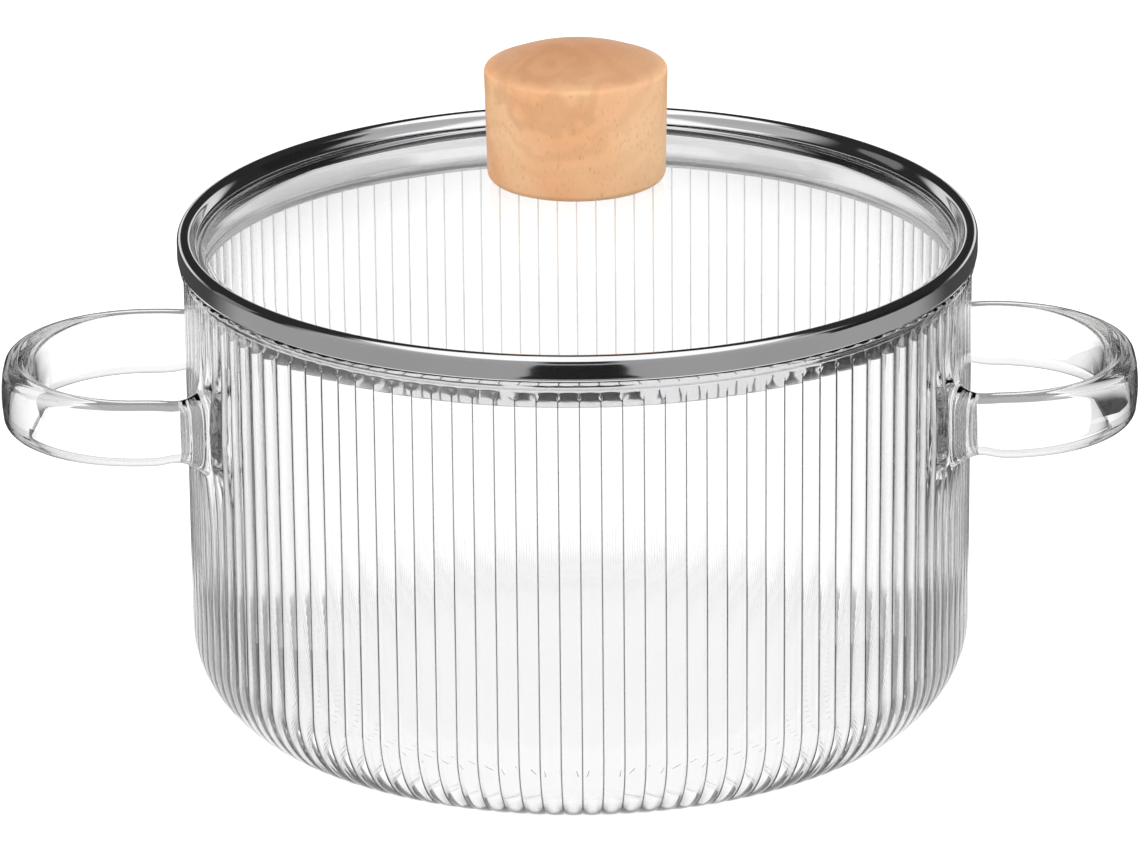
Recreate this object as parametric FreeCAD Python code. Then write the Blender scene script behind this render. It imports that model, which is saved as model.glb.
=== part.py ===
import FreeCAD, Part
import math
import os

# Glass cooking pot with a steel-rimmed glass lid. Millimetres, +Z up.
# The origin is the centre of the base; the handles point along +X and -X.

# ---- pot ----
pot_outer_r = 88.75          # wall, over the crests of the reeds
wall_t = 2.6                 # glass thickness of the wall
floor_t = 3.0                # glass thickness of the floor
corner_r = 20.5              # outer radius between the wall and the base
lip_z = 107.5                # top of the mouth, where the lid sits
lip_flare = 0.9              # how far the lip stands out past the wall
lip_h = 2.6                  # height of the flared lip
lip_edge_r = 0.7             # fire-polished edge of the lip

# ---- reeds: convex ribs parted by narrow grooves ----
reed_count = 120
groove_depth = 0.45
groove_half_w = 1.5          # half the groove's width at the wall's surface
groove_below_lip = 4.7       # where the groove begins to run out
groove_runout_r = 6.0        # radius of the run-out at the top
groove_runout_deg = 30.0
groove_corner_deg = 73.0     # how far each groove follows the corner
groove_tail = 4.8            # straight tail that fades out above the base

# ---- handles ----
strap_h = 15.0               # height of the glass strap
strap_t = 7.0                # its thickness
strap_edge_r = 3.0           # rounding of the strap's edges
handle_below_lip = 31.9      # from the lip down to the strap's middle
handle_half_w = 31.0         # from the middle of the loop to a leg's centreline
left_reach = 130.2           # outermost point of each loop from the pot's axis;
right_reach = 126.2          # the loops are drawn by hand and differ a little
handle_bend_r = 28.0         # bend radius of the strap's centreline
weld_depth = 0.6             # how far the fused joint sinks into the wall
weld_foot_w = 9.4           # width of the melted foot at the wall
weld_foot_h = 19.2           # its height at the wall
weld_foot_len = 5.0          # how far it takes to narrow down to the strap
weld_overrun = 6.0           # extra length inside the wall, trimmed off

# ---- lid: steel rim ----
rim_outer_r = 90.0           # over the rolled edge
rim_bead_h = 5.9             # height of the rolled edge
rim_crest_r = 1.7            # rounding of its top
rim_crest_wrap_deg = 151.0   # how far the rounding wraps over towards the glass
rim_foot_r = 1.0             # bend at its lower corner
rim_sheet_t = 0.5            # thickness of the steel sheet
rim_inner_r = 85.8           # inner edge of the fold on top of the glass
skirt_clearance = 1.2        # between the skirt and the pot's inner wall
skirt_h = 6.65               # how far the skirt hangs below the lip
hem_r = 0.55                 # rolled hem at the foot of the skirt

# ---- lid: glass ----
lid_glass_t = 2.0
glass_edge_r = 88.6          # edge of the glass, inside the steel fold
glass_bedding = 0.05         # gap between the glass and the fold
lid_flange_r = 85.0          # the dome ends here in a narrow flat flange
lid_flange_blend_r = 4.0     # blend between the dome and the flange
lid_rise = 15.3              # rise of the dome above the flange
stud_hole_clearance = 1.2    # between the screw and the hole in the glass

# ---- knob ----
knob_base_r = 20.0
knob_top_r = 20.5
knob_side_h = 26.2
knob_crown = 4.3             # rise of the domed top
knob_base_edge_r = 1.6
knob_top_edge_r = 1.4
knob_gap = 0.3               # between the knob's edge and the glass

# ---- fastening ----
screw_r = 2.5                # M5
screw_head_r = 4.75
screw_head_h = 2.2
screw_slot_w = 1.2           # width of one arm of the cross recess
screw_slot_len = 4.6
screw_slot_depth = 1.2
screw_engagement = 11.0      # length of screw inside the insert
screw_end_chamfer = 0.5
insert_r = 4.25
insert_len = 14.0
insert_flange_r = 6.0
insert_flange_t = 1.0
thread_gap = 0.05            # between the screw and the insert
seal_r = 10.0                # silicone washers either side of the glass
seal_t = 0.8
seal_bore_clearance = 0.2
plate_r = 8.0                # steel washer under the screw head
plate_t = 0.8
recess_clearance = 0.4       # round the upper washer, in the knob

# ---- values that follow from those above ----
pot_inner_r = pot_outer_r - wall_t
flat_base_r = pot_outer_r - corner_r
inner_corner_r = corner_r - wall_t
skirt_outer_r = pot_inner_r - skirt_clearance
groove_top_z = lip_z - groove_below_lip
handle_mid_z = lip_z - handle_below_lip
flange_low_z = lip_z + rim_sheet_t + glass_bedding
flange_top_z = flange_low_z + lid_glass_t
apex_z = flange_top_z + lid_rise
dome_r = (lid_flange_r ** 2 + lid_rise ** 2) / (2.0 * lid_rise) - lid_flange_blend_r
dome_centre_z = apex_z - dome_r
dome_tilt_deg = math.degrees(math.asin(lid_flange_r / (dome_r + lid_flange_blend_r)))
knob_seat_z = apex_z + seal_t
knob_base_z = dome_centre_z + math.sqrt(dome_r ** 2 - knob_base_r ** 2) + knob_gap
knob_top_z = knob_base_z + knob_side_h + knob_crown
lower_seal_z = apex_z - lid_glass_t - seal_t
plate_z = lower_seal_z - plate_t
insert_low_z = knob_seat_z
screw_end_z = insert_low_z + screw_engagement
Z_AXIS = FreeCAD.Vector(0, 0, 1)
ORIGIN = FreeCAD.Vector(0, 0, 0)


def point(r, z):
    return FreeCAD.Vector(r, 0, z)


def line(a, b):
    return Part.LineSegment(point(*a), point(*b)).toShape()


def arc(a, mid, b):
    return Part.Arc(point(*a), point(*mid), point(*b)).toShape()


def arc_about(centre, radius, start_deg, end_deg):
    """Arc in the XZ plane, angles counted from +X towards +Z."""
    ends = []
    for deg in (start_deg, (start_deg + end_deg) / 2.0, end_deg):
        a = math.radians(deg)
        ends.append((centre[0] + radius * math.cos(a), centre[1] + radius * math.sin(a)))
    return arc(*ends)


def revolved(edges):
    """Full turn of a closed outline in the XZ plane about the pot's axis."""
    face = Part.Face(Part.Wire(edges))
    solid = face.revolve(ORIGIN, Z_AXIS, 360)
    if solid.Volume < 0:
        solid.reverse()
    return solid


def washer(outer_r, inner_r, low_z, top_z):
    height = top_z - low_z
    ring = Part.makeCylinder(outer_r, height, point(0, low_z))
    return ring.cut(Part.makeCylinder(inner_r, height, point(0, low_z)))


# ------------------------------------------------------------------ pot body

def vessel_outline():
    """Closed half-section of the pot, without its reeds."""
    lip_r = pot_outer_r + lip_flare
    low = lip_z - lip_h
    outer_centre = (flat_base_r, corner_r)
    inner_centre = (flat_base_r, floor_t + inner_corner_r)
    top = lip_z - lip_edge_r
    slope_end = (lip_r, top - lip_edge_r)
    slope_mid = (pot_outer_r + 0.35 * lip_flare, (low + slope_end[1]) / 2.0)
    return [
        line((0, 0), (flat_base_r, 0)),
        arc_about(outer_centre, corner_r, -90, 0),
        line((pot_outer_r, corner_r), (pot_outer_r, low)),
        arc((pot_outer_r, low), slope_mid, slope_end),
        line(slope_end, (lip_r, top)),
        arc_about((lip_r - lip_edge_r, top), lip_edge_r, 0, 90),
        line((lip_r - lip_edge_r, lip_z), (pot_inner_r + lip_edge_r, lip_z)),
        arc_about((pot_inner_r + lip_edge_r, top), lip_edge_r, 90, 180),
        line((pot_inner_r, top), (pot_inner_r, inner_centre[1])),
        arc_about(inner_centre, inner_corner_r, 0, -90),
        line((flat_base_r, floor_t), (0, floor_t)),
        line((0, floor_t), (0, 0)),
    ]


def groove_path():
    """Centreline of one groove: tail, corner, wall and run-out."""
    centre = (flat_base_r, corner_r)
    a = math.radians(groove_corner_deg)
    end = (centre[0] + corner_r * math.cos(a), centre[1] - corner_r * math.sin(a))
    tail = (end[0] - groove_tail * math.sin(a), end[1] - groove_tail * math.cos(a))
    out = (pot_outer_r + groove_runout_r, groove_top_z)
    return Part.Wire([
        line(tail, end),
        arc_about(centre, corner_r, -groove_corner_deg, 0),
        line((pot_outer_r, corner_r), (pot_outer_r, groove_top_z)),
        arc_about(out, groove_runout_r, 180, 180 - groove_runout_deg),
    ])


def groove_tool():
    """Solid that cuts one V-shaped groove down the wall and round the corner."""
    path = groove_path()
    a = math.radians(groove_corner_deg)
    start = path.OrderedVertexes[0].Point
    outward = FreeCAD.Vector(math.cos(a), 0, -math.sin(a))
    side = FreeCAD.Vector(0, 1, 0)
    widen = 2.0
    tip = start - outward * groove_depth
    left = start + outward * (groove_depth * (widen - 1)) + side * (groove_half_w * widen)
    right = start + outward * (groove_depth * (widen - 1)) - side * (groove_half_w * widen)
    section = Part.makePolygon([tip, left, right, tip])
    return path.makePipeShell([section], True, True)


def pot_body():
    vessel = revolved(vessel_outline())
    tool = groove_tool()
    tools = []
    for i in range(reed_count):
        copy = tool.copy()
        copy.rotate(ORIGIN, Z_AXIS, 360.0 * (i + 0.5) / reed_count)
        tools.append(copy)
    return vessel.cut(tools)


# ------------------------------------------------------------------- handles

def rounded_rectangle(width, height, edge_r, x, y, z):
    """Upright outline in the YZ plane, centred on (x, y, z)."""
    half_w = width / 2.0 - edge_r
    half_h = height / 2.0 - edge_r
    k = edge_r * math.sqrt(0.5)

    def at(dy, dz):
        return FreeCAD.Vector(x, y + dy, z + dz)

    edges = []
    for sy, sz in ((1, 1), (-1, 1), (-1, -1), (1, -1)):
        cy = sy * half_w
        cz = sz * half_h
        side = at(cy + sy * edge_r, cz)
        top = at(cy, cz + sz * edge_r)
        bulge = at(cy + sy * k, cz + sz * k)
        turn = (side, top) if sy * sz > 0 else (top, side)
        edges.append(Part.Arc(turn[0], bulge, turn[1]).toShape())
    edges.append(Part.LineSegment(at(half_w, half_h + edge_r), at(-half_w, half_h + edge_r)).toShape())
    edges.append(Part.LineSegment(at(-half_w - edge_r, half_h), at(-half_w - edge_r, -half_h)).toShape())
    edges.append(Part.LineSegment(at(-half_w, -half_h - edge_r), at(half_w, -half_h - edge_r)).toShape())
    edges.append(Part.LineSegment(at(half_w + edge_r, -half_h), at(half_w + edge_r, half_h)).toShape())
    return Part.Wire(Part.__sortEdges__(edges))


def strap_path(leg_start_x, reach):
    """Centreline of the loop, seen from above, open towards the pot."""
    tip_x = reach - strap_t / 2.0
    bend_x = tip_x - handle_bend_r
    end_y = handle_half_w - handle_bend_r
    k = handle_bend_r * math.sqrt(0.5)
    z = handle_mid_z

    def at(x, y):
        return FreeCAD.Vector(x, y, z)

    return Part.Wire([
        Part.LineSegment(at(leg_start_x, -handle_half_w), at(bend_x, -handle_half_w)).toShape(),
        Part.Arc(at(bend_x, -handle_half_w), at(bend_x + k, -end_y - k), at(tip_x, -end_y)).toShape(),
        Part.LineSegment(at(tip_x, -end_y), at(tip_x, end_y)).toShape(),
        Part.Arc(at(tip_x, end_y), at(bend_x + k, end_y + k), at(bend_x, handle_half_w)).toShape(),
        Part.LineSegment(at(bend_x, handle_half_w), at(leg_start_x, handle_half_w)).toShape(),
    ])


def weld_foot(side, wall_x):
    """Melted foot of one leg: wide at the wall, as slim as the strap further out."""
    y = side * handle_half_w
    z = handle_mid_z
    sections = []
    for step in (0.0, 0.35, 1.0):
        spread = (1.0 - step) ** 2
        w = strap_t + (weld_foot_w - strap_t) * spread
        h = strap_h + (weld_foot_h - strap_h) * spread
        x = wall_x + weld_foot_len * step
        sections.append(rounded_rectangle(w, h, strap_edge_r, x, y, z))
    return Part.makeLoft(sections, True, False)


def handle(reach):
    """Loop of glass strap on the +X side, cut to the wall it is fused to."""
    wall_x = math.sqrt(pot_outer_r ** 2 - handle_half_w ** 2)
    start_x = wall_x - weld_overrun
    profile = rounded_rectangle(strap_t, strap_h, strap_edge_r, start_x, -handle_half_w, handle_mid_z)
    loop = strap_path(start_x, reach).makePipeShell([profile], True, True)
    foot_x = wall_x - weld_foot_w * handle_half_w / pot_outer_r / 2.0
    for side in (-1, 1):
        loop = loop.fuse(weld_foot(side, foot_x))
    fused_r = pot_outer_r - weld_depth
    bore = Part.makeCylinder(fused_r, lip_z * 2)
    return loop.cut(bore).removeSplitter()


def handle_right():
    return handle(right_reach)


def handle_left():
    return handle(left_reach).rotated(ORIGIN, Z_AXIS, 180)


# ----------------------------------------------------------------------- lid

def glass_side(outer):
    """Edges of one face of the lid glass, from the axis out to its edge."""
    offset = 0.0 if outer else lid_glass_t
    blend = (lid_flange_r, flange_top_z + lid_flange_blend_r)
    tilt = 90.0 - dome_tilt_deg
    flat_z = flange_top_z - offset
    return [
        arc_about((0, dome_centre_z), dome_r - offset, 90, tilt),
        arc_about(blend, lid_flange_blend_r + offset, 180 + tilt, 270),
        line((lid_flange_r, flat_z), (glass_edge_r, flat_z)),
    ]


def lid_glass():
    """Shallow dome of even thickness, a flat flange and a hole for the screw."""
    outline = glass_side(True) + glass_side(False)
    outline.append(line((glass_edge_r, flange_low_z), (glass_edge_r, flange_top_z)))
    outline.append(line((0, apex_z), (0, apex_z - lid_glass_t)))
    hole = Part.makeCylinder(screw_r + stud_hole_clearance, apex_z * 2)
    return revolved(Part.__sortEdges__(outline)).cut(hole)


def lid_rim():
    """Steel sheet folded round the edge of the glass, with a skirt inside the mouth."""
    t = rim_sheet_t
    crest_x = rim_outer_r - rim_crest_r
    crest_z = lip_z + rim_bead_h - rim_crest_r
    foot_x = rim_outer_r - rim_foot_r
    foot_z = lip_z + rim_foot_r
    wrap = math.radians(rim_crest_wrap_deg)
    fold_z = flange_top_z + glass_bedding
    skirt_low = lip_z - skirt_h
    skirt_in = skirt_outer_r - t
    tip = (rim_inner_r, fold_z + t)

    def on_crest(radius):
        return (crest_x + radius * math.cos(wrap), crest_z + radius * math.sin(wrap))

    outer = [
        line(tip, on_crest(rim_crest_r)),
        arc_about((crest_x, crest_z), rim_crest_r, rim_crest_wrap_deg, 0),
        line((rim_outer_r, crest_z), (rim_outer_r, foot_z)),
        arc_about((foot_x, foot_z), rim_foot_r, 0, -90),
        line((foot_x, lip_z), (skirt_outer_r, lip_z)),
        line((skirt_outer_r, lip_z), (skirt_outer_r, skirt_low)),
        line((skirt_outer_r, skirt_low), (skirt_in, skirt_low)),
    ]
    inner = [
        line((skirt_in, skirt_low), (skirt_in, lip_z + t)),
        line((skirt_in, lip_z + t), (foot_x, lip_z + t)),
        arc_about((foot_x, foot_z), rim_foot_r - t, -90, 0),
        line((rim_outer_r - t, foot_z), (rim_outer_r - t, crest_z)),
        arc_about((crest_x, crest_z), rim_crest_r - t, 0, rim_crest_wrap_deg),
        line(on_crest(rim_crest_r - t), (rim_inner_r, fold_z)),
        line((rim_inner_r, fold_z), tip),
    ]
    ring = revolved(outer + inner)
    hem = Part.makeTorus(skirt_outer_r - hem_r, hem_r, FreeCAD.Vector(0, 0, skirt_low))
    return ring.fuse(hem).removeSplitter()


def lid_knob():
    """Turned wooden knob, recessed underneath for the washer and the insert."""
    side_top = knob_base_z + knob_side_h
    low_x = knob_base_r - knob_base_edge_r
    high_x = knob_top_r - knob_top_edge_r
    k = math.sqrt(0.5)
    low_mid = (low_x + knob_base_edge_r * k, knob_base_z + knob_base_edge_r * (1 - k))
    high_z = side_top - knob_top_edge_r
    high_mid = (high_x + knob_top_edge_r * k, high_z + knob_top_edge_r * k)
    crown_r = (high_x ** 2 + knob_crown ** 2) / (2.0 * knob_crown)
    crown_deg = math.degrees(math.asin(high_x / crown_r))
    outline = [
        line((0, knob_base_z), (low_x, knob_base_z)),
        arc((low_x, knob_base_z), low_mid, (knob_base_r, knob_base_z + knob_base_edge_r)),
        line((knob_base_r, knob_base_z + knob_base_edge_r), (knob_top_r, high_z)),
        arc((knob_top_r, high_z), high_mid, (high_x, side_top)),
        arc_about((0, knob_top_z - crown_r), crown_r, 90 - crown_deg, 90),
        line((0, knob_top_z), (0, knob_base_z)),
    ]
    body = revolved(outline)
    hollow = Part.makeSphere(dome_r + knob_gap, point(0, dome_centre_z))
    recess_low = point(0, knob_base_z - 1.0)
    recess = Part.makeCylinder(seal_r + recess_clearance, knob_seat_z - recess_low.z, recess_low)
    flange = Part.makeCylinder(insert_flange_r, insert_flange_t, point(0, insert_low_z))
    bore = Part.makeCylinder(insert_r, insert_len, point(0, insert_low_z))
    return body.cut([hollow, recess, flange, bore])


def knob_insert():
    """Brass insert pressed into the knob, with a flange at its mouth."""
    flange = Part.makeCylinder(insert_flange_r, insert_flange_t, point(0, insert_low_z))
    barrel = Part.makeCylinder(insert_r, insert_len, point(0, insert_low_z))
    bore_len = screw_engagement + 1.5
    bore = Part.makeCylinder(screw_r + thread_gap, bore_len, point(0, insert_low_z))
    return flange.fuse(barrel).cut(bore).removeSplitter()


def knob_screw():
    """Pan-head screw put in from under the lid, with a cross recess."""
    head_low = plate_z - screw_head_h
    flat_r = screw_slot_len / 2.0 + 0.3
    dome_mid = (screw_head_r * 0.88, head_low + screw_head_h * 0.22)
    side_z = plate_z - screw_head_h * 0.45
    tip_r = screw_r - screw_end_chamfer
    outline = [
        line((0, head_low), (flat_r, head_low)),
        arc((flat_r, head_low), dome_mid, (screw_head_r, side_z)),
        line((screw_head_r, side_z), (screw_head_r, plate_z)),
        line((screw_head_r, plate_z), (screw_r, plate_z)),
        line((screw_r, plate_z), (screw_r, screw_end_z - screw_end_chamfer)),
        line((screw_r, screw_end_z - screw_end_chamfer), (tip_r, screw_end_z)),
        line((tip_r, screw_end_z), (0, screw_end_z)),
        line((0, screw_end_z), (0, head_low)),
    ]
    half_w = screw_slot_w / 2.0
    half_len = screw_slot_len / 2.0
    deep = screw_slot_depth * 2.0
    arm_x = Part.makeBox(screw_slot_len, screw_slot_w, deep)
    arm_x.translate(FreeCAD.Vector(-half_len, -half_w, head_low - screw_slot_depth))
    arm_y = Part.makeBox(screw_slot_w, screw_slot_len, deep)
    arm_y.translate(FreeCAD.Vector(-half_w, -half_len, head_low - screw_slot_depth))
    recess = arm_x.fuse(arm_y).removeSplitter()
    return revolved(outline).cut(recess)


def upper_seal_washer():
    """Silicone washer under the knob, shaped to the top of the dome."""
    ring = washer(seal_r, screw_r + seal_bore_clearance, apex_z - seal_t, knob_seat_z)
    return ring.cut(Part.makeSphere(dome_r, point(0, dome_centre_z)))


def lower_seal_washer():
    """Silicone washer under the glass, shaped to the underside of the dome."""
    ring = washer(seal_r, screw_r + seal_bore_clearance, lower_seal_z, apex_z)
    return ring.common(Part.makeSphere(dome_r - lid_glass_t, point(0, dome_centre_z)))


def steel_washer():
    return washer(plate_r, screw_r + seal_bore_clearance, plate_z, lower_seal_z)


def build():
    return {
        "pot_body": pot_body(),
        "handle_left": handle_left(),
        "handle_right": handle_right(),
        "lid_glass": lid_glass(),
        "lid_rim": lid_rim(),
        "lid_knob": lid_knob(),
        "knob_insert": knob_insert(),
        "knob_screw": knob_screw(),
        "upper_seal_washer": upper_seal_washer(),
        "lower_seal_washer": lower_seal_washer(),
        "steel_washer": steel_washer(),
    }


os.makedirs("parts", exist_ok=True)
for name, shape in build().items():
    shape.exportStep("parts/" + name + ".step")
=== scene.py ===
import math

import bpy
import bmesh
from mathutils import Matrix, Vector


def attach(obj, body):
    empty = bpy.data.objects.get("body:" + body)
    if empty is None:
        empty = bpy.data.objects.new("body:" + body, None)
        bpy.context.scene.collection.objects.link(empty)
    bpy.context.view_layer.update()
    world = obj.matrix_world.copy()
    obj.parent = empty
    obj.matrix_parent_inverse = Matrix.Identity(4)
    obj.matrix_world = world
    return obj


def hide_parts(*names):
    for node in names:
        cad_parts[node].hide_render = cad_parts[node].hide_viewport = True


MM = 0.001
TAU = 2.0 * math.pi

# Sizes in millimetres, the same as the part's own.
POT_R = 88.75
WALL_T = 2.6
FLOOR_T = 3.0
CORNER_R = 20.5
LIP_Z = 107.5
LIP_FLARE = 0.9
LIP_H = 2.6
LIP_EDGE_R = 0.7
REEDS = 120
REED_DEPTH = 0.45
REED_TOP_Z = 105.2
REED_ARCH_H = 1.6
STRAP_H = 15.0
STRAP_T = 7.0
STRAP_EDGE_R = 3.0
WELD_REACH_X = 7.0
WELD_REACH_Y = 9.0
WELD_REACH_Z = 16.0
WELD_PASSES = 14
HANDLE_Z = 75.6
HANDLE_HALF_W = 31.0
LEFT_REACH = 130.2
RIGHT_REACH = 126.2
HANDLE_BEND_R = 28.0
RIM_R = 90.0
RIM_BEAD_H = 5.9
RIM_CREST_R = 1.7
RIM_CREST_WRAP = 151.0
RIM_FOOT_R = 1.0
RIM_T = 0.5
RIM_INNER_R = 85.8
SKIRT_GAP = 1.2
SKIRT_H = 6.65
HEM_R = 0.55
LID_T = 2.0
LID_EDGE_R = 88.6
BEDDING = 0.05
LID_RISE = 15.3
FLANGE_R = 85.0
BLEND_R = 4.0
SEAL_T = 0.8
KNOB_BASE_R = 20.0
KNOB_TOP_R = 20.5
KNOB_SIDE_H = 26.2
KNOB_CROWN = 4.3
KNOB_GAP = 0.3

FLANGE_LOW_Z = LIP_Z + RIM_T + BEDDING
FLANGE_Z = FLANGE_LOW_Z + LID_T
APEX_Z = FLANGE_Z + LID_RISE
DOME_R = (FLANGE_R ** 2 + LID_RISE ** 2) / (2.0 * LID_RISE) - BLEND_R
DOME_Z = APEX_Z - DOME_R


# ------------------------------------------------------------------ mesh code

def new_object(name, verts, faces, smooth=True):
    mesh = bpy.data.meshes.new(name)
    mesh.from_pydata([(x * MM, y * MM, z * MM) for x, y, z in verts], [], faces)
    mesh.validate()
    bm = bmesh.new()
    bm.from_mesh(mesh)
    bmesh.ops.recalc_face_normals(bm, faces=bm.faces)
    bm.to_mesh(mesh)
    bm.free()
    for polygon in mesh.polygons:
        polygon.use_smooth = smooth
    obj = bpy.data.objects.new(name, mesh)
    bpy.context.scene.collection.objects.link(obj)
    return obj


def smoothstep(a, b, x):
    t = min(1.0, max(0.0, (x - a) / (b - a)))
    return t * t * (3.0 - 2.0 * t)


def arc_points(cx, cz, radius, start_deg, end_deg, count):
    """Points on an arc in the (r, z) plane, angles counted from +r towards +z."""
    points = []
    for i in range(count + 1):
        a = math.radians(start_deg + (end_deg - start_deg) * i / count)
        points.append((cx + radius * math.cos(a), cz + radius * math.sin(a)))
    return points


def line_points(a, b, count):
    return [(a[0] + (b[0] - a[0]) * i / count, a[1] + (b[1] - a[1]) * i / count) for i in range(count + 1)]


def joined(*runs):
    """Runs of points in one list, without the doubled points where they meet."""
    out = []
    for run in runs:
        for p in run:
            if not out or math.dist(out[-1], p) > 1e-6:
                out.append(p)
    return out


def lathe(name, profile, columns, closed):
    """Turns an (r, z) profile; a closed one makes a ring, an open one starts and ends on the axis."""
    verts = []
    faces = []
    rings = []
    for r, z in profile:
        if r < 1e-6:
            rings.append([len(verts)] * columns)
            verts.append((0.0, 0.0, z))
        else:
            base = len(verts)
            for i in range(columns):
                a = TAU * i / columns
                verts.append((r * math.cos(a), r * math.sin(a), z))
            rings.append(list(range(base, base + columns)))
    pairs = list(zip(rings, rings[1:]))
    if closed:
        pairs.append((rings[-1], rings[0]))
    for low, high in pairs:
        for i in range(columns):
            j = (i + 1) % columns
            quad = [low[i], low[j], high[j], high[i]]
            face = []
            for v in quad:
                if v not in face:
                    face.append(v)
            if len(face) >= 3:
                faces.append(face)
    return new_object(name, verts, faces)


# ------------------------------------------------------------------ pot glass

REED_STEPS = (0.0, 0.018, 0.036, 0.06, 0.12, 0.22, 0.35, 0.5, 0.65, 0.78, 0.88, 0.94, 0.964, 0.982)


def reed_shape(phase):
    """Depth of the reed at a phase from 0 to 1: 0 on the crest, 1 in the groove."""
    t = abs(phase - 0.5) * 2.0
    return 0.62 * t ** 2.2 + 0.38 * math.exp(-((1.0 - t) / 0.045) ** 2)


def reed_strength(z, phase):
    """How far the reeds stand out at this height: rounded tops under the lip."""
    t = abs(phase - 0.5) * 2.0
    top = REED_TOP_Z - REED_ARCH_H * t ** 3
    return smoothstep(top, top - 1.1, z)


def weld_amount(x, y, z):
    """1 where a handle's leg meets the wall, fading to 0 around it."""
    d_y = (abs(y) - HANDLE_HALF_W) / 8.0
    d_z = (z - HANDLE_Z) / 13.5
    return math.exp(-(d_y * d_y + d_z * d_z) ** 1.5) if abs(x) > 40.0 else 0.0


def pot_mesh():
    flat_r = POT_R - CORNER_R
    inner_r = POT_R - WALL_T
    in_corner = CORNER_R - WALL_T
    lip_r = POT_R + LIP_FLARE
    low = LIP_Z - LIP_H
    top = LIP_Z - LIP_EDGE_R
    outer = joined(
        [(0.0, 0.0), (30.0, 0.0), (60.0, 0.0), (flat_r - 1.5, 0.0)],
        arc_points(flat_r, CORNER_R, CORNER_R, -90, 0, 26),
        line_points((POT_R, CORNER_R), (POT_R, 60.0), 6),
        line_points((POT_R, 60.0), (POT_R, 93.0), 26),
        line_points((POT_R, 93.0), (POT_R, 102.6), 3),
        line_points((POT_R, 102.6), (POT_R, low), 14),
        [(POT_R + 0.12, low + 0.45), (POT_R + 0.4, low + 0.85), (lip_r - 0.15, low + 1.2)],
        arc_points(lip_r - LIP_EDGE_R, top, LIP_EDGE_R, 0, 90, 6),
    )
    inner = joined(
        arc_points(inner_r + LIP_EDGE_R, top, LIP_EDGE_R, 90, 180, 6),
        line_points((inner_r, top), (inner_r, CORNER_R + 0.4), 6),
        arc_points(flat_r, FLOOR_T + in_corner, in_corner, 0, -90, 20),
        [(flat_r - 3.0, FLOOR_T), (40.0, FLOOR_T), (0.0, FLOOR_T)],
    )
    columns = REEDS * len(REED_STEPS)
    angles = []
    for reed in range(REEDS):
        for step in REED_STEPS:
            angles.append((TAU * (reed + step) / REEDS, step))
    verts = []
    rings = []
    for index, (r, z) in enumerate(outer + inner):
        if r < 1e-6:
            rings.append([len(verts)] * columns)
            verts.append((0.0, 0.0, z))
            continue
        is_outer = index < len(outer)
        rings.append(list(range(len(verts), len(verts) + columns)))
        normal_r, normal_z = 1.0, 0.0
        fade = 1.0
        if z < CORNER_R:
            a = math.atan2(CORNER_R - z, max(1e-6, r - flat_r))
            normal_r, normal_z = math.cos(a), -math.sin(a)
            fade = 1.0 - smoothstep(math.radians(62.0), math.radians(84.0), a)
        for angle, phase in angles:
            c, s = math.cos(angle), math.sin(angle)
            push = 0.0
            if is_outer and r > flat_r + 0.5 and z < LIP_Z - 1.0:
                depth = REED_DEPTH * fade * reed_strength(z, phase) * reed_shape(phase)
                weld = weld_amount(r * c, r * s, z)
                push = -depth * (1.0 - weld) + 1.1 * weld
            rr = r + push * normal_r
            verts.append((rr * c, rr * s, z + push * normal_z))
    faces = []
    for low_ring, high_ring in zip(rings, rings[1:]):
        for i in range(columns):
            j = (i + 1) % columns
            face = []
            for v in (low_ring[i], low_ring[j], high_ring[j], high_ring[i]):
                if v not in face:
                    face.append(v)
            if len(face) >= 3:
                faces.append(face)
    return new_object("pot_glass", verts, faces)


def strap_stations(reach):
    """Centreline of the loop as (x, y, tangent angle, distance from the wall)."""
    tip_x = reach - STRAP_T / 2.0
    bend_x = tip_x - HANDLE_BEND_R
    end_y = HANDLE_HALF_W - HANDLE_BEND_R
    start_x = math.sqrt(POT_R ** 2 - HANDLE_HALF_W ** 2) - 1.4
    half = []
    leg = bend_x - start_x
    for i in range(30):
        t = (i / 30.0) ** 1.3
        half.append((start_x + leg * t, -HANDLE_HALF_W, 0.0, leg * t))
    for i in range(33):
        a = math.radians(90.0 * i / 32.0)
        x = bend_x + HANDLE_BEND_R * math.sin(a)
        y = -end_y - HANDLE_BEND_R * math.cos(a)
        half.append((x, y, a, leg + HANDLE_BEND_R * a))
    full = list(half)
    full.append((tip_x, 0.0, math.pi / 2.0, leg + HANDLE_BEND_R * math.pi / 2.0 + end_y))
    for x, y, a, d in reversed(half):
        full.append((x, -y, math.pi - a, d))
    return full


def strap_section(width, height):
    """Rounded rectangle with slightly crowned faces: (across, up) points."""
    half_w = width / 2.0 - STRAP_EDGE_R
    half_h = height / 2.0 - STRAP_EDGE_R
    points = []
    for cu, cv, start in ((half_w, half_h, 0), (-half_w, half_h, 90), (-half_w, -half_h, 180), (half_w, -half_h, 270)):
        corner = arc_points(cu, cv, STRAP_EDGE_R, start, start + 90, 7)
        points.extend(corner)
        following = start + 90
        for t in (0.25, 0.5, 0.75):
            if following in (90, 270):
                u = corner[-1][0] * (1.0 - 2.0 * t)
                v = corner[-1][1] * (1.0 + 0.12 * t * (1.0 - t))
            else:
                u = corner[-1][0] * (1.0 + 0.35 * t * (1.0 - t))
                v = corner[-1][1] * (1.0 - 2.0 * t)
            points.append((u, v))
    return points


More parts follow.
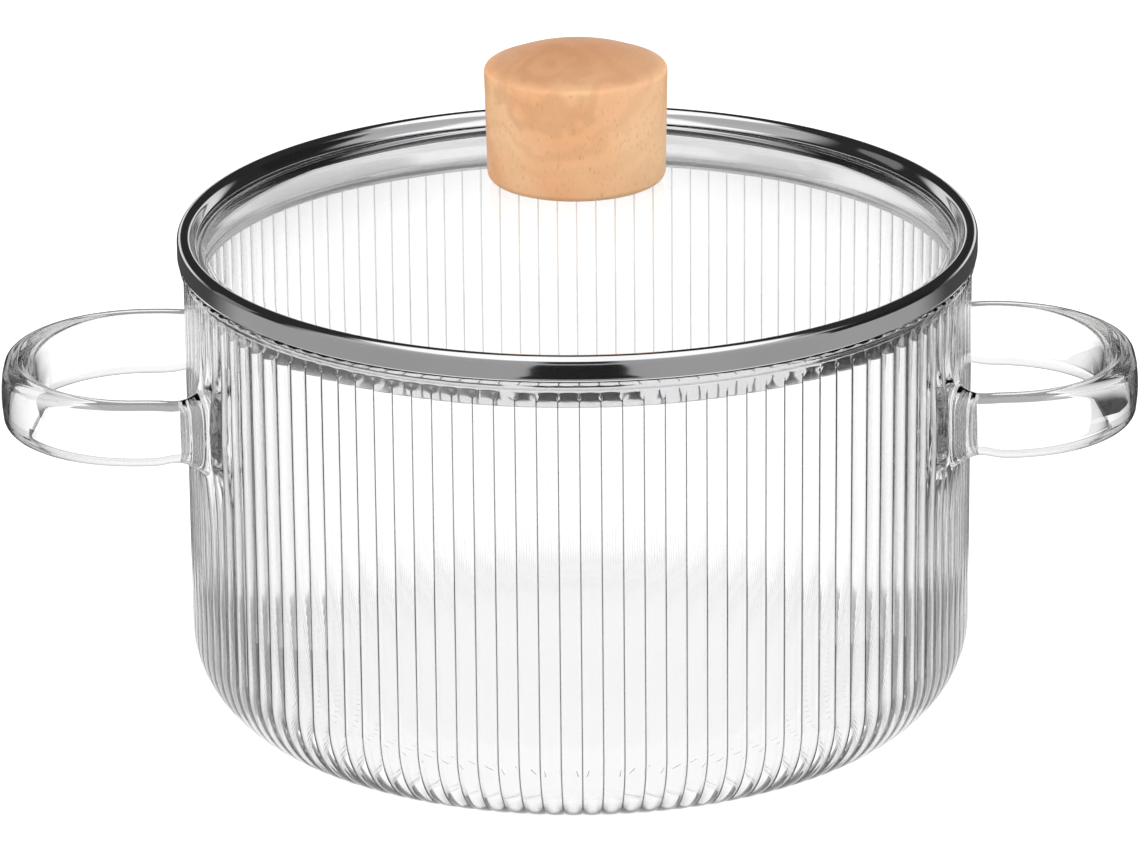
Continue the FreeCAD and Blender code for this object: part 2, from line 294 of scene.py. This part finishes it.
def handle_mesh(name, side, reach):
    verts = []
    rings = []
    for x, y, tangent, d in strap_stations(reach):
        out = max(0.0, d - 1.4)
        flare = math.exp(-((out / 3.0) ** 1.5))
        neck = math.exp(-(((out - 6.0) / 3.4) ** 2))
        across_x, across_y = math.sin(tangent), -math.cos(tangent)
        lean = 1.0 - smoothstep(2.0, 9.0, d)
        ring = []
        for u, v in strap_section(STRAP_T + 2.4 * flare, STRAP_H + 4.2 * flare - 1.2 * neck):
            px = x + across_x * u
            py = y + across_y * u
            wall_x = math.sqrt(POT_R ** 2 - py ** 2)
            here_x = math.sqrt(POT_R ** 2 - y ** 2)
            px += (wall_x - here_x) * lean
            ring.append(len(verts))
            verts.append((side * px, py, HANDLE_Z + v + 0.3 * neck))
        rings.append(ring)
    faces = []
    count = len(rings[0])
    for a, b in zip(rings, rings[1:]):
        for i in range(count):
            j = (i + 1) % count
            faces.append([a[i], a[j], b[j], b[i]])
    faces.append(rings[0])
    faces.append(rings[-1])
    return new_object(name, verts, faces)


def melt_welds(mesh):
    """Softens the glass where each leg runs into the wall, as a flame does."""
    bm = bmesh.new()
    bm.from_mesh(mesh)
    foot_x = math.sqrt(POT_R ** 2 - HANDLE_HALF_W ** 2)
    soft = []
    for vert in bm.verts:
        x, y, z = vert.co / MM
        away_x = (abs(x) - foot_x) / WELD_REACH_X
        away_y = (abs(y) - HANDLE_HALF_W) / WELD_REACH_Y
        away_z = (z - HANDLE_Z) / WELD_REACH_Z
        near = away_x * away_x + away_y * away_y + away_z * away_z < 1.0
        if near and math.hypot(x, y) > POT_R - 1.0:
            soft.append(vert)
    for step in range(WELD_PASSES):
        bmesh.ops.smooth_vert(bm, verts=soft, factor=0.5, use_axis_x=True, use_axis_y=True, use_axis_z=True)
    bm.to_mesh(mesh)
    bm.free()


def glass_pot():
    """Pot and handles as one fused body of glass."""
    pot = pot_mesh()
    for name, side, reach in (("handle_tool_right", 1.0, RIGHT_REACH), ("handle_tool_left", -1.0, LEFT_REACH)):
        tool = handle_mesh(name, side, reach)
        union = pot.modifiers.new("weld", "BOOLEAN")
        union.operation = "UNION"
        union.solver = "MANIFOLD"
        union.object = tool
        bpy.context.view_layer.objects.active = pot
        bpy.ops.object.modifier_apply(modifier=union.name)
        bpy.data.objects.remove(tool)
    pot.data.materials.clear()
    for polygon in pot.data.polygons:
        polygon.use_smooth = True
        polygon.material_index = 0
    melt_welds(pot.data)
    return pot


# ------------------------------------------------------------------ lid

def glass_face(offset):
    """One face of the lid glass, from the axis out."""
    tilt = 90.0 - math.degrees(math.asin(FLANGE_R / (DOME_R + BLEND_R)))
    return joined(
        arc_points(0.0, DOME_Z, DOME_R - offset, 90, tilt, 40),
        arc_points(FLANGE_R, FLANGE_Z + BLEND_R, BLEND_R + offset, 180 + tilt, 270, 10),
        line_points((FLANGE_R, FLANGE_Z - offset), (LID_EDGE_R, FLANGE_Z - offset), 3),
    )


def lid_glass_mesh():
    hole_r = 3.7
    top = [p for p in glass_face(0.0) if p[0] > hole_r]
    low = [p for p in glass_face(LID_T) if p[0] > hole_r]
    top.insert(0, (hole_r, APEX_Z))
    low.insert(0, (hole_r, APEX_Z - LID_T))
    return lathe("lid_dome_glass", top + low[::-1], 256, True)


def rim_mesh():
    crest_x = RIM_R - RIM_CREST_R
    crest_z = LIP_Z + RIM_BEAD_H - RIM_CREST_R
    foot_x = RIM_R - RIM_FOOT_R
    foot_z = LIP_Z + RIM_FOOT_R
    skirt_out = POT_R - WALL_T - SKIRT_GAP
    skirt_in = skirt_out - RIM_T
    skirt_low = LIP_Z - SKIRT_H
    fold_z = FLANGE_Z + BEDDING
    crest = arc_points(crest_x, crest_z, RIM_CREST_R, RIM_CREST_WRAP, 0, 26)
    under = arc_points(crest_x, crest_z, RIM_CREST_R - RIM_T, 0, RIM_CREST_WRAP, 16)
    lip = arc_points(RIM_INNER_R, fold_z + RIM_T / 2.0, RIM_T / 2.0, 270, 90, 6)
    slope = line_points(lip[-1], crest[0], 6)
    for i in range(1, 6):
        r, z = slope[i]
        slope[i] = (r, z - 0.09 * math.sin(math.pi * i / 6.0))
    profile = joined(
        lip,
        slope,
        crest,
        line_points((RIM_R, crest_z), (RIM_R, foot_z), 4),
        arc_points(foot_x, foot_z, RIM_FOOT_R, 0, -90, 8),
        line_points((foot_x, LIP_Z), (skirt_out + 0.4, LIP_Z), 3),
        arc_points(skirt_out + 0.4, LIP_Z - 0.4, 0.4, 90, 180, 4),
        line_points((skirt_out, LIP_Z - 0.4), (skirt_out, skirt_low), 4),
        arc_points(skirt_out - HEM_R, skirt_low, HEM_R, 0, -270, 18),
        line_points((skirt_in, skirt_low + HEM_R), (skirt_in, LIP_Z + RIM_T), 4),
        line_points((skirt_in, LIP_Z + RIM_T), (foot_x, LIP_Z + RIM_T), 3),
        arc_points(foot_x, foot_z, RIM_FOOT_R - RIM_T, -90, 0, 6),
        line_points((RIM_R - RIM_T, foot_z), (RIM_R - RIM_T, crest_z), 3),
        under,
    )
    return lathe("lid_rim_steel", profile, 360, True)


def knob_mesh():
    base_z = DOME_Z + math.sqrt(DOME_R ** 2 - KNOB_BASE_R ** 2) + KNOB_GAP
    side_top = base_z + KNOB_SIDE_H
    low_r, high_r = 1.6, 1.4
    high_x = KNOB_TOP_R - high_r
    crown_r = (high_x ** 2 + KNOB_CROWN ** 2) / (2.0 * KNOB_CROWN)
    crown = math.degrees(math.asin(high_x / crown_r))
    top_z = side_top + KNOB_CROWN
    under = []
    for i in range(9):
        r = 10.4 + (KNOB_BASE_R - low_r - 10.4) * i / 8.0
        under.append((r, DOME_Z + math.sqrt((DOME_R + KNOB_GAP) ** 2 - r * r)))
    profile = joined(
        [(0.0, APEX_Z + SEAL_T), (6.0, APEX_Z + SEAL_T), (10.4, APEX_Z + SEAL_T)],
        under,
        arc_points(KNOB_BASE_R - low_r, base_z + low_r, low_r, -90, 0, 8),
        line_points((KNOB_BASE_R, base_z + low_r), (KNOB_TOP_R, side_top - high_r), 10),
        arc_points(high_x, side_top - high_r, high_r, 0, 72, 7),
        arc_points(0.0, top_z - crown_r, crown_r, 90 - crown, 90, 20),
    )
    return lathe("knob_wood_turned", profile, 192, False)


# ------------------------------------------------------------------ materials

CLEAR = (0.99, 0.99, 0.99)
# Near-black colour of the painted edge shade on the glass at grazing views.
EDGE_PAINTED_SHADE = (0.006, 0.006, 0.0065)
# Dark grey of the painted shade line along the bottom of each groove.
GROOVE_PAINTED_SHADE = (0.05, 0.05, 0.052)


def new_material(name):
    material = bpy.data.materials.new(name)
    material.use_nodes = True
    nodes = material.node_tree.nodes
    nodes.clear()
    output = nodes.new("ShaderNodeOutputMaterial")
    shader = nodes.new("ShaderNodeBsdfPrincipled")
    material.node_tree.links.new(shader.outputs["BSDF"], output.inputs["Surface"])
    return material, shader, output


def node(material, kind, **values):
    made = material.node_tree.nodes.new(kind)
    for key, value in values.items():
        if key in made.inputs:
            made.inputs[key].default_value = value
        else:
            setattr(made, key, value)
    return made


def link(material, a, b):
    material.node_tree.links.new(a, b)


def ramp(material, source, stops):
    made = material.node_tree.nodes.new("ShaderNodeValToRGB")
    elements = made.color_ramp.elements
    while len(elements) < len(stops):
        elements.new(0.5)
    for element, (place, colour) in zip(elements, stops):
        element.position = place
        element.color = (*colour, 1.0)
    link(material, source, made.inputs["Fac"])
    return made.outputs["Color"]


def object_coords(material, scale=(1.0, 1.0, 1.0), rotation=(0.0, 0.0, 0.0)):
    coords = node(material, "ShaderNodeTexCoord")
    mapping = node(material, "ShaderNodeMapping")
    mapping.inputs["Scale"].default_value = scale
    mapping.inputs["Rotation"].default_value = rotation
    link(material, coords.outputs["Object"], mapping.inputs["Vector"])
    return mapping.outputs["Vector"]


def noise(material, vector, scale, detail=3.0, roughness=0.5):
    made = node(material, "ShaderNodeTexNoise")
    made.inputs["Scale"].default_value = scale
    made.inputs["Detail"].default_value = detail
    made.inputs["Roughness"].default_value = roughness
    link(material, vector, made.inputs["Vector"])
    return made.outputs["Fac"]


def bump(material, shader, height, strength, distance):
    made = node(material, "ShaderNodeBump")
    made.inputs["Strength"].default_value = strength
    made.inputs["Distance"].default_value = distance
    link(material, height, made.inputs["Height"])
    link(material, made.outputs["Normal"], shader.inputs["Normal"])


def maths(material, operation, a, b=None):
    """Math node; each of a and b is a socket or a number."""
    made = node(material, "ShaderNodeMath", operation=operation)
    for index, value in enumerate((a, b)):
        if value is None:
            continue
        if isinstance(value, float):
            made.inputs[index].default_value = value
        else:
            link(material, value, made.inputs[index])
    return made.outputs[0]


def fade(material, source, low, high, start=0.0, end=1.0):
    """Smooth change from start to end while the source goes from low to high."""
    made = node(material, "ShaderNodeMapRange", interpolation_type="SMOOTHSTEP")
    made.inputs["From Min"].default_value = low
    made.inputs["From Max"].default_value = high
    made.inputs["To Min"].default_value = start
    made.inputs["To Max"].default_value = end
    link(material, source, made.inputs["Value"])
    return made.outputs["Result"]


def split_xyz(material, vector):
    made = node(material, "ShaderNodeSeparateXYZ")
    link(material, vector, made.inputs[0])
    return made.outputs["X"], made.outputs["Y"], made.outputs["Z"]


def mixed(material, factor, a, b):
    """Colour mix; each of a and b is a socket or a colour."""
    made = node(material, "ShaderNodeMix", data_type="RGBA")
    link(material, factor, made.inputs["Factor"])
    for key, value in (("A", a), ("B", b)):
        if isinstance(value, tuple):
            made.inputs[key].default_value = (*value, 1.0)
        else:
            link(material, value, made.inputs[key])
    return made.outputs["Result"]


def glass_material(name, edge_shade_start, wave_scale, wave_strength, paint_groove_shade=False):
    """Clear glass, faintly wavy; painted shade turns its base colour towards near black where the view runs along its
    surface.
    """
    material, shader, output = new_material(name)
    facing = node(material, "ShaderNodeLayerWeight", Blend=0.5).outputs["Facing"]
    edge = fade(material, facing, edge_shade_start, 0.90)
    if paint_groove_shade:
        edge = maths(material, "MULTIPLY", edge, painted_edge_shade_streaks(material))
    painted_shade_tint = mixed(material, edge, CLEAR, EDGE_PAINTED_SHADE)
    if paint_groove_shade:
        painted_shade_tint = mixed(material, painted_groove_shade(material), painted_shade_tint, GROOVE_PAINTED_SHADE)
    link(material, painted_shade_tint, shader.inputs["Base Color"])
    shader.inputs["Transmission Weight"].default_value = 1.0
    shader.inputs["IOR"].default_value = 1.473
    coords = object_coords(material)
    smear = noise(material, coords, 60.0, 2.0)
    rough = node(material, "ShaderNodeMapRange")
    rough.inputs["From Min"].default_value = 0.55
    rough.inputs["From Max"].default_value = 0.8
    rough.inputs["To Min"].default_value = 0.0
    rough.inputs["To Max"].default_value = 0.012
    link(material, smear, rough.inputs["Value"])
    link(material, rough.outputs["Result"], shader.inputs["Roughness"])
    waves = noise(material, coords, wave_scale, 1.0, 0.3)
    bump(material, shader, waves, wave_strength, 0.0005)
    volume = node(material, "ShaderNodeVolumeAbsorption")
    volume.inputs["Color"].default_value = (0.5, 0.5, 0.5, 1.0)
    volume.inputs["Density"].default_value = 20.0
    link(material, volume.outputs["Volume"], output.inputs["Volume"])
    return material


def axis_distance(material, x, y):
    across = maths(material, "MULTIPLY", x, x)
    return maths(material, "SQRT", maths(material, "ADD", across, maths(material, "MULTIPLY", y, y)))


def reed_wave(material, x, y):
    """1 in every groove and -1 on every crest."""
    turn = maths(material, "ARCTAN2", y, x)
    return maths(material, "COSINE", maths(material, "MULTIPLY", turn, float(REEDS)))


def painted_edge_shade_streaks(material):
    """Strength of the painted edge shade: none over the flat floor, least on the reed crests, full on the handles."""
    x, y, z = split_xyz(material, node(material, "ShaderNodeTexCoord").outputs["Object"])
    radius = axis_distance(material, x, y)
    off_floor = fade(material, radius, (POT_R - CORNER_R) * MM, (POT_R - WALL_T) * MM)
    streak = fade(material, reed_wave(material, x, y), -0.9, 0.5, 0.25, 1.0)
    on_handle = fade(material, radius, (POT_R + 0.5) * MM, (POT_R + 1.5) * MM)
    return maths(material, "MULTIPLY", off_floor, maths(material, "MAXIMUM", streak, on_handle))


def painted_groove_shade(material):
    """Mask of the painted shade line along the bottom of each groove, standing in for the light bent away there."""
    coords = node(material, "ShaderNodeTexCoord").outputs["Object"]
    x, y, z = split_xyz(material, coords)
    out = maths(material, "SUBTRACT", axis_distance(material, x, y), (POT_R - CORNER_R) * MM)
    down = maths(material, "MINIMUM", maths(material, "SUBTRACT", z, CORNER_R * MM), 0.0)
    reach = maths(material, "SQRT", maths(material, "ADD", maths(material, "MULTIPLY", out, out),
                                          maths(material, "MULTIPLY", down, down)))
    outside = maths(material, "GREATER_THAN", reach, (CORNER_R - WALL_T * 0.6) * MM)
    flush = maths(material, "LESS_THAN", reach, (CORNER_R + 0.05) * MM)
    below = fade(material, z, (REED_TOP_Z - 0.6) * MM, (REED_TOP_Z - 2.4) * MM)
    above = fade(material, z, 0.8 * MM, 3.5 * MM)
    line = fade(material, reed_wave(material, x, y), 0.960, 0.997)
    amount = maths(material, "MULTIPLY", outside, flush)
    # The painted groove shade is full strength at y below -30 mm and half strength above +60 mm.
    side = fade(material, y, -0.03, 0.06, 1.0, 0.5)
    for mask in (below, above, line, side):
        amount = maths(material, "MULTIPLY", amount, mask)
    return amount


def steel_material():
    material, shader, output = new_material("polished_steel")
    shader.inputs["Metallic"].default_value = 1.0
    coords = object_coords(material)
    tone = noise(material, coords, 35.0, 2.0)
    colour = ramp(material, tone, [(0.3, (0.60, 0.60, 0.61)), (0.7, (0.66, 0.66, 0.67))])
    link(material, colour, shader.inputs["Base Color"])
    fine = noise(material, object_coords(material, (1.0, 1.0, 14.0)), 420.0, 4.0)
    rough = node(material, "ShaderNodeMapRange")
    rough.inputs["To Min"].default_value = 0.06
    rough.inputs["To Max"].default_value = 0.11
    link(material, fine, rough.inputs["Value"])
    link(material, rough.outputs["Result"], shader.inputs["Roughness"])
    bump(material, shader, fine, 0.02, 0.0001)
    return material


def wood_material():
    """Light fine-pored wood with a darker swirl towards the upper front left."""
    material, shader, output = new_material("knob_beech")
    coords = object_coords(material)
    drift = noise(material, coords, 60.0, 3.0)
    centre = node(material, "ShaderNodeVectorMath", operation="DISTANCE")
    centre.inputs[1].default_value = (-0.004, -0.008, 0.152)
    stretched = object_coords(material, (1.0, 0.8, 1.0))
    link(material, stretched, centre.inputs[0])
    wander = maths(material, "MULTIPLY", drift, 0.030)
    distance = maths(material, "ADD", centre.outputs["Value"], wander)
    swirl = fade(material, distance, 0.014, 0.040, 1.0, 0.0)
    turns = maths(material, "SINE", maths(material, "MULTIPLY", distance, 1000.0))
    rings = fade(material, turns, -0.6, 1.0)
    patches = noise(material, coords, 42.0, 2.0)
    base = ramp(material, patches, [(0.34, (0.87, 0.42, 0.21)), (0.50, (0.95, 0.50, 0.245)),
                                    (0.66, (0.99, 0.60, 0.32))])
    x, y, z = split_xyz(material, coords)
    # The colour is mixed paler towards +x and darker on the top above z = 149.6 mm.
    pale = maths(material, "MULTIPLY", fade(material, x, -0.004, 0.020), 0.55)
    base = mixed(material, pale, base, (0.98, 0.64, 0.37))
    darker_top = fade(material, z, 0.1496, 0.1520, 0.0, 0.62)
    base = mixed(material, darker_top, base, (0.46, 0.22, 0.11))
    dark = maths(material, "MULTIPLY", swirl, maths(material, "ADD", maths(material, "MULTIPLY", rings, 0.30), 0.20))
    figured = mixed(material, dark, base, (0.48, 0.215, 0.085))
    faint = maths(material, "MULTIPLY", rings, 0.10)
    ringed = mixed(material, faint, figured, (0.60, 0.31, 0.14))
    pores = noise(material, object_coords(material, (1.0, 1.0, 0.55), (0.0, 0.35, 0.0)), 1500.0, 3.0, 0.6)
    specks = fade(material, pores, 0.56, 0.74, 0.0, 0.42)
    colour = mixed(material, specks, ringed, (0.50, 0.25, 0.11))
    link(material, colour, shader.inputs["Base Color"])
    rough = fade(material, pores, 0.3, 0.7, 0.36, 0.5)
    link(material, rough, shader.inputs["Roughness"])
    shader.inputs["Specular IOR Level"].default_value = 0.4
    bump(material, shader, pores, 0.12, 0.0002)
    return material


def plain_material(name, colour, metallic, rough_low, rough_high, scale):
    material, shader, output = new_material(name)
    shader.inputs["Metallic"].default_value = metallic
    coords = object_coords(material)
    tone = noise(material, coords, scale, 3.0)
    dark = tuple(c * 0.9 for c in colour)
    link(material, ramp(material, tone, [(0.3, dark), (0.7, colour)]), shader.inputs["Base Color"])
    rough = node(material, "ShaderNodeMapRange")
    rough.inputs["To Min"].default_value = rough_low
    rough.inputs["To Max"].default_value = rough_high
    link(material, tone, rough.inputs["Value"])
    link(material, rough.outputs["Result"], shader.inputs["Roughness"])
    bump(material, shader, tone, 0.05, 0.0001)
    return material


# ------------------------------------------------------------------ stage

def stage_floor():
    """Pale light table: it glows evenly, so only a faint contact shadow shows."""
    size = 8000.0
    low = -0.02
    floor = new_object("stage_floor", [(-size, -size, low), (size, -size, low), (size, size, low),
                                       (-size, size, low)], [[0, 1, 2, 3]], False)
    material, shader, output = new_material("stage_paper")
    shader.inputs["Base Color"].default_value = (0.3, 0.3, 0.3, 1.0)
    shader.inputs["Roughness"].default_value = 0.9
    shader.inputs["Specular IOR Level"].default_value = 0.1
    shader.inputs["Emission Color"].default_value = (1.0, 1.0, 1.0, 1.0)
    shader.inputs["Emission Strength"].default_value = 0.95
    floor.data.materials.append(material)
    return floor


def studio():
    """Even white surroundings with a slightly brighter ceiling."""
    world = bpy.data.worlds.new("studio")
    world.use_nodes = True
    bpy.context.scene.world = world
    back = world.node_tree.nodes["Background"]
    coords = world.node_tree.nodes.new("ShaderNodeTexCoord").outputs["Generated"]
    x, y, z = split_xyz(world, coords)
    level = fade(world, z, 0.45, 0.95, 1.05, 1.4)
    link(world, level, back.inputs["Color"])


def studio_card(name, verts, faces, glow, in_glass=False, in_mirrors=True):
    """Card that shows in reflections or through the glass, and never to the camera."""
    card = new_object(name, verts, faces)
    material = bpy.data.materials.new(name)
    material.use_nodes = True
    material.node_tree.nodes.clear()
    output = node(material, "ShaderNodeOutputMaterial")
    emission = node(material, "ShaderNodeEmission")
    coords = node(material, "ShaderNodeTexCoord").outputs["Object"]
    glow(material, coords, emission)
    link(material, emission.outputs["Emission"], output.inputs["Surface"])
    card.data.materials.append(material)
    card.visible_camera = False
    card.visible_diffuse = False
    card.visible_transmission = in_glass
    card.visible_glossy = in_mirrors
    card.visible_volume_scatter = False
    card.visible_shadow = False
    return material, emission, output


def dome_glow(material, coords, emission):
    """Dark room with a round soft box overhead, paler fronts left and right, and a white backdrop low down."""
    unit = node(material, "ShaderNodeVectorMath", operation="NORMALIZE")
    link(material, coords, unit.inputs[0])
    x, y, z = split_xyz(material, unit.outputs["Vector"])
    towards = node(material, "ShaderNodeVectorMath", operation="DOT_PRODUCT")
    tilt = math.radians(17.0)
    towards.inputs[1].default_value = (0.0, -math.sin(tilt), math.cos(tilt))
    link(material, unit.outputs["Vector"], towards.inputs[0])
    box = fade(material, towards.outputs["Value"], 0.74, 0.82, 0.0, 1.55)
    front = fade(material, y, 0.05, -0.2)
    gap = maths(material, "MAXIMUM", fade(material, maths(material, "ABSOLUTE", x), 0.10, 0.22),
                fade(material, z, 0.72, 0.86))
    low = fade(material, z, 0.85, 0.2, 0.75, 0.48)
    sides = maths(material, "MULTIPLY", maths(material, "MULTIPLY", front, gap), low)
    backdrop = maths(material, "MULTIPLY", fade(material, y, 0.5, 0.75), fade(material, z, 0.23, 0.17))
    level = maths(material, "MAXIMUM", maths(material, "MAXIMUM", box, sides), backdrop)
    link(material, maths(material, "MAXIMUM", level, 0.03), emission.inputs["Strength"])


def table_glow(material, coords, emission):
    """Grey table top, darker behind the pot."""
    unit = node(material, "ShaderNodeVectorMath", operation="NORMALIZE")
    link(material, coords, unit.inputs[0])
    x, y, z = split_xyz(material, unit.outputs["Vector"])
    link(material, fade(material, y, 0.15, 0.5, 0.48, 0.08), emission.inputs["Strength"])


def dark_glow(material, coords, emission):
    emission.inputs["Strength"].default_value = 0.02


def grey_glow(material, coords, emission):
    emission.inputs["Strength"].default_value = 0.25


def pale_glow(material, coords, emission):
    emission.inputs["Strength"].default_value = 0.42


def beside_glow(material, coords, emission):
    """Table falling off into black on the right and into grey on the left."""
    x, y, z = split_xyz(material, coords)
    right = fade(material, x, 0.175, 0.270, 1.0, 0.02)
    left = fade(material, x, -0.175, -0.300, 1.0, 0.15)
    link(material, maths(material, "MINIMUM", right, left), emission.inputs["Strength"])


def canopy_glow(material, coords, emission):
    """Dark overhead for light bent upwards inside the glass."""
    unit = node(material, "ShaderNodeVectorMath", operation="NORMALIZE")
    link(material, coords, unit.inputs[0])
    x, y, z = split_xyz(material, unit.outputs["Vector"])
    link(material, fade(material, z, 0.52, 0.80, 1.0, 0.12), emission.inputs["Strength"])


def ring_mesh(profile, columns):
    """Sheet turned from an (r, z) profile: its points and faces."""
    verts = []
    faces = []
    for r, z in profile:
        for i in range(columns):
            a = TAU * i / columns
            verts.append((r * math.cos(a), r * math.sin(a), z))
    for k in range(len(profile) - 1):
        for i in range(columns):
            j = (i + 1) % columns
            faces.append([k * columns + i, k * columns + j, (k + 1) * columns + j, (k + 1) * columns + i])
    return verts, faces


def upright(x, y_low, y_high, z_high):
    """Upright rectangle standing on the floor at one x: its points and face."""
    verts = [(x, y_low, 1.0), (x, y_high, 1.0), (x, y_high, z_high), (x, y_low, z_high)]
    return verts, [[0, 1, 2, 3]]


def table_sector(r_low, r_high, start_deg, end_deg):
    """Part of a flat ring lying on the floor: its points and faces."""
    verts = []
    faces = []
    count = 24
    for i in range(count + 1):
        a = math.radians(start_deg + (end_deg - start_deg) * i / count)
        verts.append((r_low * math.cos(a), r_low * math.sin(a), 0.4))
        verts.append((r_high * math.cos(a), r_high * math.sin(a), 0.4))
    for i in range(count):
        faces.append([2 * i, 2 * i + 1, 2 * i + 3, 2 * i + 2])
    return verts, faces


def reflectors():
    dome = arc_points(0.0, 0.0, 2500.0, 0.5, 89.9, 30)
    studio_card("stage_dome", *ring_mesh(dome, 64), dome_glow)
    studio_card("stage_table", *ring_mesh([(140.0, 0.3), (600.0, 0.3), (2500.0, 0.3)], 64), table_glow)
    studio_card("stage_flag_right", *upright(1000.0, -350.0, 450.0, 650.0), dark_glow, True)
    studio_card("stage_flag_left", *upright(-1000.0, 180.0, 550.0, 500.0), grey_glow, True)
    patch = [(-85.0, -500.0, 0.5), (85.0, -500.0, 0.5), (85.0, -300.0, 0.5), (-85.0, -300.0, 0.5)]
    studio_card("stage_patch_front", patch, [[0, 1, 2, 3]], dark_glow, True)
    studio_card("stage_patch_left", *table_sector(320.0, 560.0, 190.0, 250.0), grey_glow, True, False)
    for name, glow, x_low, x_high, y_low, y_high in (
            ("stage_under_right", pale_glow, 78.0, 150.0, -85.0, 55.0),
            ("stage_under_left", pale_glow, -150.0, -78.0, -85.0, 55.0),
            ("stage_beside_right", beside_glow, 165.0, 600.0, -150.0, 500.0),
            ("stage_beside_left", beside_glow, -420.0, -165.0, -150.0, 50.0)):
        flat = [(x_low, y_low, 0.5), (x_high, y_low, 0.5), (x_high, y_high, 0.5), (x_low, y_high, 0.5)]
        studio_card(name, flat, [[0, 1, 2, 3]], glow, True, False)
    canopy = arc_points(0.0, 0.0, 2400.0, 30.0, 89.9, 20)
    studio_card("stage_canopy", *ring_mesh(canopy, 64), canopy_glow, True, False)


def camera():
    """Long lens from just above, turned very slightly about its own axis."""
    distance = 1.600
    elevation = math.radians(20.13)
    roll = math.radians(-0.548)
    side = -0.00204
    target_z = 0.06466
    place = Vector((side, -distance * math.cos(elevation), target_z + distance * math.sin(elevation)))
    forward = Vector((0.0, math.cos(elevation), -math.sin(elevation)))
    right = Vector((1.0, 0.0, 0.0))
    up = right.cross(forward)
    x_axis = math.cos(roll) * right + math.sin(roll) * up
    y_axis = -math.sin(roll) * right + math.cos(roll) * up
    data = bpy.data.cameras.new("camera")
    data.sensor_width = 36.0
    data.lens = 222.4
    data.clip_end = 100.0
    cam = bpy.data.objects.new("camera", data)
    matrix = Matrix((x_axis, y_axis, -forward)).transposed().to_4x4()
    matrix.translation = place
    cam.matrix_world = matrix
    bpy.context.scene.collection.objects.link(cam)
    bpy.context.scene.camera = cam
    return cam


# ------------------------------------------------------------------ the scene

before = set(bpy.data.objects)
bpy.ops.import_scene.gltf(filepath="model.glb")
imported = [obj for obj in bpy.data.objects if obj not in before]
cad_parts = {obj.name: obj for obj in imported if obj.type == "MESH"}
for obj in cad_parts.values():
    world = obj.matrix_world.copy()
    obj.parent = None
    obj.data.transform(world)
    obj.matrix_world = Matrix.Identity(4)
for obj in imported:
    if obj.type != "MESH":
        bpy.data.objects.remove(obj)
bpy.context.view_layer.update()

pot_glass = glass_material("pot_glass_clear", 0.35, 45.0, 0.25, True)
lid_clear = glass_material("lid_glass_clear", 0.8, 25.0, 0.1)
steel = steel_material()
wood = wood_material()
brass = plain_material("insert_brass_turned", (0.72, 0.52, 0.22), 1.0, 0.25, 0.4, 300.0)
screw_steel = plain_material("screw_steel_satin", (0.62, 0.62, 0.63), 1.0, 0.25, 0.4, 300.0)
silicone = plain_material("seal_silicone_white", (0.82, 0.82, 0.81), 0.0, 0.45, 0.6, 200.0)

pot = glass_pot()
pot.data.materials.append(pot_glass)
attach(pot, "pot")
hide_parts("pot_body", "handle_left", "handle_right")

lid = lid_glass_mesh()
lid.data.materials.append(lid_clear)
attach(lid, "lid")
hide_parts("lid_glass")

rim = rim_mesh()
rim.data.materials.append(steel)
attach(rim, "lid")
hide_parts("lid_rim")

knob = knob_mesh()
knob.data.materials.append(wood)
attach(knob, "lid")
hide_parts("lid_knob")

for name, material in (("knob_insert", brass), ("knob_screw", screw_steel), ("steel_washer", screw_steel),
                       ("upper_seal_washer", silicone), ("lower_seal_washer", silicone)):
    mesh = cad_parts[name].data
    mesh.materials.clear()
    mesh.materials.append(material)

stage_floor()
studio()
reflectors()
camera()

cycles = bpy.context.scene.cycles
cycles.max_bounces = 24
cycles.transmission_bounces = 24
cycles.glossy_bounces = 12
bpy.context.scene.view_settings.view_transform = "Standard"
